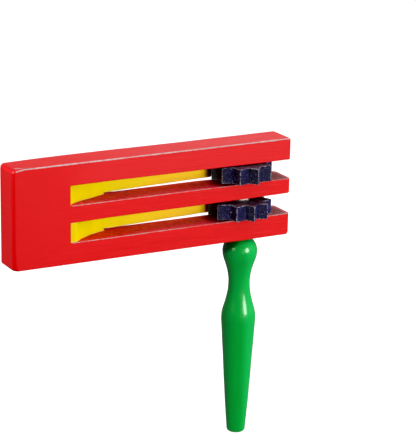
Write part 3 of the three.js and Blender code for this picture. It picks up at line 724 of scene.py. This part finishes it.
# ------------------------------------------------------------------ tongues
def tongue(name, root, lean, x1, slot, relief, bevel):
    """Root and blade as the one strip of wood they are, thick in the slot and thin beyond."""
    curve = smooth_curve(root, 4)
    cx, cy = np.array([p[0] for p in curve]), np.array([p[1] for p in curve])
    tan = math.tan(math.radians(lean))
    thick = 1.8 / math.cos(math.radians(lean))

    def front(x):
        if x <= cx[-1]:
            return float(np.interp(x, cx, cy))
        t = min(1.0, (x - cx[-1]) / 50.0)
        t = t * t * (3 - 2 * t)
        return 7.0 + (x + 83.2) * tan + (cy[-1] - 7.0) * (1 - t)

    def back(x):
        line = 7.0 + (x + 83.2) * tan + thick
        t = min(1.0, max(0.0, (x + 87.0) / 7.0))
        t = t * t * (3 - 2 * t)
        return 8.95 * (1 - t) + line * t

    step_x = FLEX_X - 0.6
    (ax, ay), (bx, by) = bevel
    xs = sorted(set([round(x, 3) for x in np.linspace(-110.0, step_x - 0.04, 46)]
                    + [round(x, 3) for x in np.linspace(step_x + 0.04, ax - 0.05, 44)]
                    + [round(x, 3) for x in np.linspace(ax + 0.05, x1 - 0.3, 6)]
                    + [x1 - 0.15, x1 - 0.05, x1]))
    rings, edge = [], []
    for x in xs:
        yf, yb = front(x), back(x)
        if x < step_x:
            zb, zt = slot[0] + 0.02, slot[1] - 0.02
        else:
            zb = slot[0] + float(np.interp(x, *zip(*relief)))
            zt = slot[1] - 0.7
        zb, zt = zb + wander(x, slot[0]), zt + wander(x, slot[1])
        end = max(0.0, x - (x1 - 0.8)) / 0.8
        shrink = 0.8 * (1 - math.sqrt(max(0.0, 1 - end * end)))
        zb, zt = zb + shrink, zt - shrink
        # the free end is bevelled on its front, where the teeth strike it
        yf = max(yf, ay + (x - ax) * (by - ay) / (bx - ax)) if x > ax else yf
        r = min(0.16 if x < step_x else 0.22, 0.36 * (yb - yf))
        plain = min(0.35, 0.12 * (yb - yf))
        ring, mark = [], []
        sides = [((yf, zb), (1, 0), (0, 1)), ((yb, zb), (0, 1), (-1, 0)),
                 ((yb, zt), (-1, 0), (0, -1)), ((yf, zt), (0, -1), (1, 0))]
        # each corner: a small arc, with a plain point a little way along each face
        for (ky, kz), along, across in sides:
            ky0, kz0 = ky, kz
            a, c = np.array(along, float), np.array(across, float)
            centre = np.array([ky0, kz0]) + a * r + c * r
            before = np.array([ky0, kz0]) + c * (r + plain)
            ring.append((x, before[0], before[1]))
            mark.append(0.0)
            for s in range(4):
                f = math.pi / 2 * s / 3
                p = centre - r * (a * math.cos(f) + c * math.sin(f))
                ring.append((x, p[0], p[1]))
                mark.append(1.0)
            after = np.array([ky0, kz0]) + a * (r + plain)
            ring.append((x, after[0], after[1]))
            mark.append(0.0)
        rings.append(ring)
        edge += mark
    verts, faces = loft(rings)
    ob = mesh_object(name, verts, faces, YELLOW, sharp=42, attrs={"edge": edge})
    return weighted(ob)


# ------------------------------------------------------------------ cogs
def cog(name, star, z, seed):
    """A sawn star with crisp faces, softened arrises and a bored centre."""
    pts, mark = [], []
    n = len(star)
    for i, (deg, r) in enumerate(star):
        a = math.radians(deg)
        er, et = np.array([math.cos(a), math.sin(a)]), np.array([-math.sin(a), math.cos(a)])
        if i % 2 == 0:
            h = TIP_FLAT / 2
            pts += [r * er - h * et, r * er + h * et]
            mark += [1.0, 1.0]
        else:
            pts.append(r * er)
            mark.append(0.0)
    # split every facet, so that the worn tip has its own narrow band
    ring, tip = [], []
    m = len(pts)
    for i in range(m):
        a, b = pts[i], pts[(i + 1) % m]
        ta, tb = mark[i], mark[(i + 1) % m]
        ring.append(a)
        tip.append(ta)
        length = np.linalg.norm(b - a)
        if length < 1.0:
            continue
        near = 0.45 / length
        cuts = [(near, 0.0), (0.28, 0.0), (0.5, 0.0), (0.72, 0.0), (1 - near, 0.0)]
        for t, v in cuts:
            p = a + (b - a) * t
            bow = 0.05 * math.sin(math.pi * t) * wob(i * 9.0, seed)      # hand-cut facets
            d = (b - a) / length
            ring.append(p + bow * np.array([d[1], -d[0]]))
            tip.append(v)
    ring = np.array(ring)
    tip = np.array(tip)
    k = len(ring)
    prev, nxt = np.roll(ring, 1, axis=0), np.roll(ring, -1, axis=0)
    d0 = ring - prev
    d1 = nxt - ring
    d0 /= np.linalg.norm(d0, axis=1)[:, None]
    d1 /= np.linalg.norm(d1, axis=1)[:, None]
    n0, n1 = np.c_[d0[:, 1], -d0[:, 0]], np.c_[d1[:, 1], -d1[:, 0]]
    mitre = n0 + n1
    mitre /= np.maximum(np.einsum("ij,ij->i", mitre, n1), 0.35)[:, None]     # outward, unit on a straight

    def at(inset_mm, zz, rough=0.0):
        p = ring - mitre * inset_mm
        return [(q[0], q[1], zz + rough * wob(i * 3.0, seed + 1)) for i, q in enumerate(p)]

    ang = np.arctan2(ring[:, 1], ring[:, 0])

    def circle(r, zz):
        return [(r * math.cos(t), r * math.sin(t), zz) for t in ang]

    def between(f, zz):
        inner = np.c_[COG_BORE * np.cos(ang), COG_BORE * np.sin(ang)] * 1.1
        p = ring - mitre * 0.75
        q = inner * (1 - f) + p * f
        return [(a[0], a[1], zz) for a in q]

    z0, z1 = z
    b = 0.24
    rows = [
        (circle(COG_BORE, z0 + 0.35), 0), (circle(COG_BORE, z1 - 0.35), 0), (circle(COG_BORE + 0.3, z1), 0),
        (between(0.35, z1), 0), (between(0.75, z1), 0), (at(0.75, z1), 0), (at(b, z1), 1), (at(b * 0.3, z1 - b * 0.3), 1),
        (at(0, z1 - b), 1), (at(0, z1 - b - 0.45), 0), (at(0, (z0 + z1) / 2), 0), (at(0, z0 + b + 0.45), 0),
        (at(0, z0 + b), 1), (at(b * 0.3, z0 + b * 0.3), 1), (at(b, z0), 1), (at(0.75, z0), 0),
        (between(0.75, z0), 0), (between(0.35, z0), 0), (circle(COG_BORE + 0.3, z0), 0),
    ]
    verts, edge = [], []
    for row, e in rows:
        verts += row
        side = abs(row[0][2] - (z0 + z1) / 2) < (z1 - z0) / 2 - 0.01
        edge += [max(float(e), t if side else 0.0) for t in tip]
    faces = []
    rc = len(rows)
    for r in range(rc):
        a, c = r * k, ((r + 1) % rc) * k
        for i in range(k):
            j = (i + 1) % k
            faces.append((a + i, a + j, c + j, c + i))
    ob = mesh_object(name, verts, faces, NAVY, sharp=24, attrs={"edge": edge})
    return weighted(ob)


# ------------------------------------------------------------------ brads, dowel, handle
def brad(name, deg, z, seat):
    """A round wire nail driven to the axle through a tooth valley: domed head, shank and point."""
    head = [(0, 0.40), (0.12, 0.39), (0.24, 0.35), (0.33, 0.28), (0.38, 0.19), (0.40, 0.1),
            (0.38, 0.02), (0.32, -0.02), (0.30, -0.1), (0.30, -2.0)]
    head = [(r, h + seat) for r, h in head] + [(0.30, 4.6), (0.18, 3.9), (0, 3.45)]
    verts, faces = lathe(head, 40)
    a = math.radians(deg)
    out = np.array([math.cos(a), math.sin(a), 0.0])
    side = np.array([-math.sin(a), math.cos(a), 0.0])
    up = np.array([0.0, 0.0, 1.0])
    v = [tuple(out * p[2] + side * p[0] + up * p[1] + np.array([0, 0, z])) for p in verts]
    return mesh_object(name, v, faces, STEEL, sharp=40)


def dowel():
    z0, z1 = DOWEL_Z
    profile = [(0, z0), (3.9, z0), (DOWEL_R - 0.25, z0 + 0.25), (DOWEL_R, z0 + 0.6)]
    profile += [(DOWEL_R, z) for z in np.linspace(z0 + 4, z1 - 4, 16)]
    profile += [(DOWEL_R, z1 - 0.6), (DOWEL_R - 0.25, z1 - 0.25), (3.9, z1), (0, z1)]
    v, f = lathe(profile, 72)
    v = [(x * (1 - 0.004 * (1 + wob(z, 2))), y * (1 - 0.004 * (1 + wob(z, 4))), z) for x, y, z in v]
    return mesh_object("axle_rod", v, f, WOOD, sharp=50)


def handle():
    base = HANDLE[:5]
    side = smooth_curve(HANDLE[4:], 5)
    profile = base[:-1] + side + [(SOCKET_R, -2.0), (SOCKET_R, -9.0), (SOCKET_R, SOCKET_Z), (0, SOCKET_Z)]
    v, f = lathe(profile, 128)
    return mesh_object("turned_handle", v, f, GREEN, sharp=55)


ROWS = [
    (board(), "frame", "red_paint", ["frame_block"]),
    (cog("upper_cog_wheel", UPPER_STAR, UPPER_COG_Z, 1), "handle_assembly", "navy_dye", ["upper_cog"]),
    (cog("lower_cog_wheel", LOWER_STAR, LOWER_COG_Z, 2), "handle_assembly", "navy_dye", ["lower_cog"]),
    (brad("upper_brad", UPPER_PIN_DEG, sum(UPPER_COG_Z) / 2, 14.3), "handle_assembly", "brad_steel", ["upper_cog_pin"]),
    (brad("lower_brad", LOWER_PIN_DEG, sum(LOWER_COG_Z) / 2 + 0.3, 14.12), "handle_assembly", "brad_steel", ["lower_cog_pin"]),
    (dowel(), "handle_assembly", "bare_wood", ["axle_dowel"]),
    (handle(), "handle_assembly", "green_gloss", ["handle"]),
]
for ob, body, slot, nodes in ROWS:
    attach(ob, body)
    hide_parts(*nodes)

for name, root, lean, x1, slot_z, relief, bevel, body in (
    ("upper_tongue_strip", UPPER_ROOT, 4.1, -11.9, UPP, UPPER_RELIEF, ((-13.6, 11.99), (-11.5, 14.0)), "upper_tongue"),
    ("lower_tongue_strip", LOWER_ROOT, 3.95, -13.65, LOW, LOWER_RELIEF, ((-15.15, 11.70), (-13.2, 13.83)), "lower_tongue"),
):
    ob = tongue(name, root, lean, x1, slot_z, relief, bevel)
    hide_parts(body + "_root", body + "_blade")
    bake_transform(ob)

# ------------------------------------------------------------------ camera
AZ, EL, ROLL = -28.79, 16.443, 1.078
FOCAL_PX, DIST = 1896.07, 1083.28
CX, CZ = -18.548, 9.417
az, el, roll = (math.radians(t) for t in (AZ, EL, ROLL))
back = Vector((math.sin(az) * math.cos(el), -math.cos(az) * math.cos(el), math.sin(el)))
right = Vector((math.cos(az), math.sin(az), 0.0))
up = back.cross(right)
right2 = right * math.cos(roll) + up * math.sin(roll)
up2 = up * math.cos(roll) - right * math.sin(roll)
where = right * CX + up * CZ + back * DIST
cam_data = bpy.data.cameras.new("camera")
cam = bpy.data.objects.new("camera", cam_data)
bpy.context.scene.collection.objects.link(cam)
m = cam.matrix_world.copy()
for r in range(3):
    m[r][0], m[r][1], m[r][2] = right2[r], up2[r], back[r]
    m[r][3] = where[r] * MM
m[2][3] += LIFT * MM
cam.matrix_world = m
cam_data.sensor_width = 36.0
cam_data.lens = FOCAL_PX * 36.0 / 435.0
cam_data.clip_start, cam_data.clip_end = 0.05, 50.0
bpy.context.scene.camera = cam

# ------------------------------------------------------------------ floor and backdrop
FLOOR_Z = -0.0603


def plain(name, emit, diffuse):
    mat = bpy.data.materials.new(name)
    mat.use_nodes = True
    t = mat.node_tree
    t.nodes.clear()
    o = t.nodes.new("ShaderNodeOutputMaterial")
    a = t.nodes.new("ShaderNodeAddShader")
    e = t.nodes.new("ShaderNodeEmission")
    d = t.nodes.new("ShaderNodeBsdfDiffuse")
    e.inputs[0].default_value, e.inputs[1].default_value = (1, 1, 1, 1), emit
    d.inputs[0].default_value = (diffuse, diffuse, diffuse, 1)
    t.links.new(e.outputs[0], a.inputs[0])
    t.links.new(d.outputs[0], a.inputs[1])
    t.links.new(a.outputs[0], o.inputs[0])
    return mat


def unseen(ob, camera=True):
    """Leaves the object out of the light that falls on the toy."""
    ob.visible_camera = camera
    ob.visible_diffuse = ob.visible_glossy = False
    ob.visible_transmission = ob.visible_volume_scatter = ob.visible_shadow = False


bpy.ops.mesh.primitive_circle_add(vertices=96, radius=5.0, fill_type="NGON", location=(0, 0, FLOOR_Z))
floor_ob = bpy.context.object
floor_ob.name = "floor"
floor_ob.data.materials.append(plain("floor_white", 0.86, 0.45))
unseen(floor_ob)
bpy.ops.mesh.primitive_uv_sphere_add(segments=48, ring_count=24, radius=6.0, location=(0, 0, 0))
dome = bpy.context.object
dome.name = "backdrop"
dome.data.materials.append(plain("backdrop_white", 1.0, 0.0))
unseen(dome)


# ------------------------------------------------------------------ light
BLACK = 0.008


def softbox(name, toward, azimuth, elevation, distance, width, height, radiance, gloss=True, diffuse=True):
    """A soft ellipse or rectangle of light, seen from toward in the given direction."""
    a, e = math.radians(azimuth), math.radians(elevation)
    d = Vector((math.sin(a) * math.cos(e), -math.cos(a) * math.cos(e), math.sin(e)))
    light = bpy.data.lights.new(name, "AREA")
    light.shape = "ELLIPSE" if width == height else "RECTANGLE"
    light.size, light.size_y = width, height
    light.energy = radiance * math.pi * width * height * (math.pi / 4 if width == height else 1.0)
    ob = bpy.data.objects.new(name, light)
    ob.location = Vector(toward) + d * distance
    ob.rotation_mode = "QUATERNION"
    ob.rotation_quaternion = d.to_track_quat("Z", "Y")
    bpy.context.scene.collection.objects.link(ob)
    ob.visible_camera = False
    ob.visible_glossy = gloss
    ob.visible_diffuse = diffuse
    return ob


# small round lamps seen in the gloss, and broad soft ones that only light the surfaces
softbox("key_gloss", (0, 0, 0.05), 21.5, 12, 1.15, 0.48, 0.48, 14.0, diffuse=False)
softbox("left_gloss", (0, 0, 0.05), -78, 23.5, 0.38, 0.13, 0.13, 6.8, diffuse=False)
softbox("left", (0, 0, 0.05), -75, 23, 0.38, 0.13, 0.13, 4.25, gloss=False)
softbox("left_side", (0, 0, 0.05), -90, 20, 0.45, 0.13, 0.13, 9.6, gloss=False)
softbox("front", (0, 0, 0.05), 0, 5, 1.6, 0.9, 0.9, 8.85, gloss=False)
softbox("right_side", (0, 0, 0.05), 72, 12, 1.5, 1.1, 1.1, 5.6, gloss=False)
softbox("high_front", (-0.05, 0, 0.05), 0, 60, 1.3, 0.9, 0.9, 0.57, gloss=False)
softbox("overhead", (-0.05, 0, 0.1), 0, 90, 1.0, 1.1, 0.9, 2.78)
softbox("behind", (0, 0, 0.05), 150, 18, 1.5, 1.0, 0.7, 0.52)
softbox("back_fill", (0, 0, 0.05), 176, 8, 1.6, 0.9, 0.9, 3.2, gloss=False)

world = bpy.data.worlds.new("studio")
bpy.context.scene.world = world
world.use_nodes = True
bg = world.node_tree.nodes["Background"]
bg.inputs[0].default_value = (1, 1, 1, 1)
bg.inputs[1].default_value = 0.14
bpy.context.scene.view_settings.view_transform = "Standard"
bpy.context.scene.view_settings.look = "None"
# the photograph's black point: its deepest colours are fully saturated
view_settings = bpy.context.scene.view_settings
view_settings.use_curve_mapping = True
view_settings.curve_mapping.black_level = (BLACK, BLACK, BLACK)
view_settings.curve_mapping.update()
